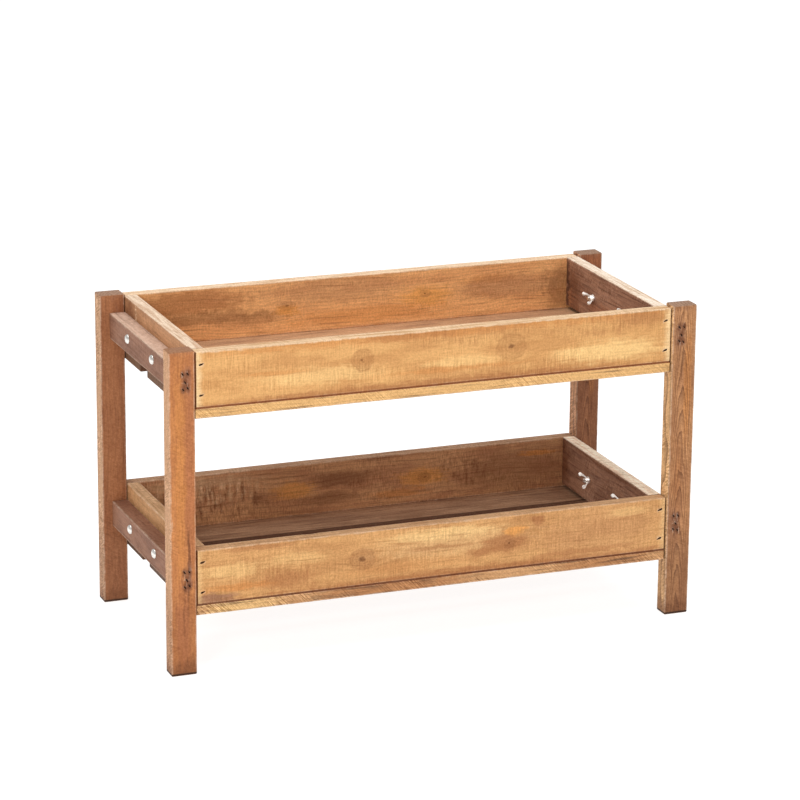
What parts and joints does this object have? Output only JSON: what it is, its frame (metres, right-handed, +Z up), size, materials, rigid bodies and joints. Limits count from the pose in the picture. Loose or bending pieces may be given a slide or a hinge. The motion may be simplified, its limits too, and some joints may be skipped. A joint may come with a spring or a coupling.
{
  "type": "tiered display shelf",
  "caption": "Free-standing wooden shelf with shallow open trays one above the other, bolted to end frames of posts and rails with carriage bolts and wing nuts.",
  "frame": {"origin": "on the ground, midway between the four posts", "axes": "+X along the shelf to its right end, +Y to its back, +Z up"},
  "size_m": [0.669, 0.3, 0.395],
  "materials": {
    "post_wood": "stained softwood, red-brown, lightly sanded, satin",
    "rail_wood": "stained softwood, dull purple-brown, matt",
    "wall_wood": "stained softwood, golden brown with saw marks and pale worn edges, matt",
    "floor_wood": "stained softwood, grey-brown, rough sawn, matt",
    "zinc_steel": "bright zinc plated steel",
    "nail_steel": "dull dark steel"
  },
  "bodies": {
    "stand": {"front_left_post": "post_wood", "rear_left_post": "post_wood", "front_right_post": "post_wood", "rear_right_post": "post_wood", "lower_left_rail": "rail_wood", "lower_left_end_board": "wall_wood", "lower_right_rail": "rail_wood", "lower_right_end_board": "wall_wood", "lower_front_board": "wall_wood", "lower_rear_board": "wall_wood", "lower_front_floor_board": "floor_wood", "lower_middle_floor_board": "floor_wood", "lower_rear_floor_board": "floor_wood", "upper_left_rail": "rail_wood", "upper_left_end_board": "wall_wood", "upper_right_rail": "rail_wood", "upper_right_end_board": "wall_wood", "upper_front_board": "wall_wood", "upper_rear_board": "wall_wood", "upper_front_floor_board": "floor_wood", "upper_middle_floor_board": "floor_wood", "upper_rear_floor_board": "floor_wood", "carriage_bolts": "zinc_steel", "post_nails": "nail_steel", "corner_nails": "nail_steel", "floor_nails": "nail_steel"},
    "lower_left_front_washer": {"lower_left_front_washer": "zinc_steel"},
    "lower_left_front_wing_nut": {"lower_left_front_wing_nut": "zinc_steel"},
    "lower_left_rear_washer": {"lower_left_rear_washer": "zinc_steel"},
    "lower_left_rear_wing_nut": {"lower_left_rear_wing_nut": "zinc_steel"},
    "lower_right_front_washer": {"lower_right_front_washer": "zinc_steel"},
    "lower_right_front_wing_nut": {"lower_right_front_wing_nut": "zinc_steel"},
    "lower_right_rear_washer": {"lower_right_rear_washer": "zinc_steel"},
    "lower_right_rear_wing_nut": {"lower_right_rear_wing_nut": "zinc_steel"},
    "upper_left_front_washer": {"upper_left_front_washer": "zinc_steel"},
    "upper_left_front_wing_nut": {"upper_left_front_wing_nut": "zinc_steel"},
    "upper_left_rear_washer": {"upper_left_rear_washer": "zinc_steel"},
    "upper_left_rear_wing_nut": {"upper_left_rear_wing_nut": "zinc_steel"},
    "upper_right_front_washer": {"upper_right_front_washer": "zinc_steel"},
    "upper_right_front_wing_nut": {"upper_right_front_wing_nut": "zinc_steel"},
    "upper_right_rear_washer": {"upper_right_rear_washer": "zinc_steel"},
    "upper_right_rear_wing_nut": {"upper_right_rear_wing_nut": "zinc_steel"}
  },
  "joints": [
    {"name": "lower_left_front_travel", "type": "slide", "parent": "stand", "child": "lower_left_front_washer", "axis": [1, 0, 0], "range_m": [0, 0.0056]},
    {"name": "lower_left_front_turn", "type": "hinge", "parent": "lower_left_front_washer", "child": "lower_left_front_wing_nut", "pos_m": [-0.2855, -0.0465, 0.119], "axis": [1, 0, 0], "range_deg": [0, 2520]},
    {"name": "lower_left_rear_travel", "type": "slide", "parent": "stand", "child": "lower_left_rear_washer", "axis": [1, 0, 0], "range_m": [0, 0.0056]},
    {"name": "lower_left_rear_turn", "type": "hinge", "parent": "lower_left_rear_washer", "child": "lower_left_rear_wing_nut", "pos_m": [-0.2855, 0.0515, 0.119], "axis": [1, 0, 0], "range_deg": [0, 2520]},
    {"name": "lower_right_front_travel", "type": "slide", "parent": "stand", "child": "lower_right_front_washer", "axis": [-1, 0, 0], "range_m": [0, 0.0056]},
    {"name": "lower_right_front_turn", "type": "hinge", "parent": "lower_right_front_washer", "child": "lower_right_front_wing_nut", "pos_m": [0.2855, -0.0515, 0.119], "axis": [-1, 0, 0], "range_deg": [0, 2520]},
    {"name": "lower_right_rear_travel", "type": "slide", "parent": "stand", "child": "lower_right_rear_washer", "axis": [-1, 0, 0], "range_m": [0, 0.0056]},
    {"name": "lower_right_rear_turn", "type": "hinge", "parent": "lower_right_rear_washer", "child": "lower_right_rear_wing_nut", "pos_m": [0.2855, 0.0465, 0.119], "axis": [-1, 0, 0], "range_deg": [0, 2520]},
    {"name": "upper_left_front_travel", "type": "slide", "parent": "stand", "child": "upper_left_front_washer", "axis": [1, 0, 0], "range_m": [0, 0.0056]},
    {"name": "upper_left_front_turn", "type": "hinge", "parent": "upper_left_front_washer", "child": "upper_left_front_wing_nut", "pos_m": [-0.2855, -0.0465, 0.359], "axis": [1, 0, 0], "range_deg": [0, 2520]},
    {"name": "upper_left_rear_travel", "type": "slide", "parent": "stand", "child": "upper_left_rear_washer", "axis": [1, 0, 0], "range_m": [0, 0.0056]},
    {"name": "upper_left_rear_turn", "type": "hinge", "parent": "upper_left_rear_washer", "child": "upper_left_rear_wing_nut", "pos_m": [-0.2855, 0.0515, 0.359], "axis": [1, 0, 0], "range_deg": [0, 2520]},
    {"name": "upper_right_front_travel", "type": "slide", "parent": "stand", "child": "upper_right_front_washer", "axis": [-1, 0, 0], "range_m": [0, 0.0056]},
    {"name": "upper_right_front_turn", "type": "hinge", "parent": "upper_right_front_washer", "child": "upper_right_front_wing_nut", "pos_m": [0.2855, -0.0515, 0.359], "axis": [-1, 0, 0], "range_deg": [0, 2520]},
    {"name": "upper_right_rear_travel", "type": "slide", "parent": "stand", "child": "upper_right_rear_washer", "axis": [-1, 0, 0], "range_m": [0, 0.0056]},
    {"name": "upper_right_rear_turn", "type": "hinge", "parent": "upper_right_rear_washer", "child": "upper_right_rear_wing_nut", "pos_m": [0.2855, 0.0465, 0.359], "axis": [-1, 0, 0], "range_deg": [0, 2520]}
  ],
  "couplings": [
    {"joint": "lower_left_front_travel", "follows": "lower_left_front_turn", "m_per_rad": 0.00012732},
    {"joint": "lower_left_rear_travel", "follows": "lower_left_rear_turn", "m_per_rad": 0.00012732},
    {"joint": "lower_right_front_travel", "follows": "lower_right_front_turn", "m_per_rad": 0.00012732},
    {"joint": "lower_right_rear_travel", "follows": "lower_right_rear_turn", "m_per_rad": 0.00012732},
    {"joint": "upper_left_front_travel", "follows": "upper_left_front_turn", "m_per_rad": 0.00012732},
    {"joint": "upper_left_rear_travel", "follows": "upper_left_rear_turn", "m_per_rad": 0.00012732},
    {"joint": "upper_right_front_travel", "follows": "upper_right_front_turn", "m_per_rad": 0.00012732},
    {"joint": "upper_right_rear_travel", "follows": "upper_right_rear_turn", "m_per_rad": 0.00012732}
  ]
}
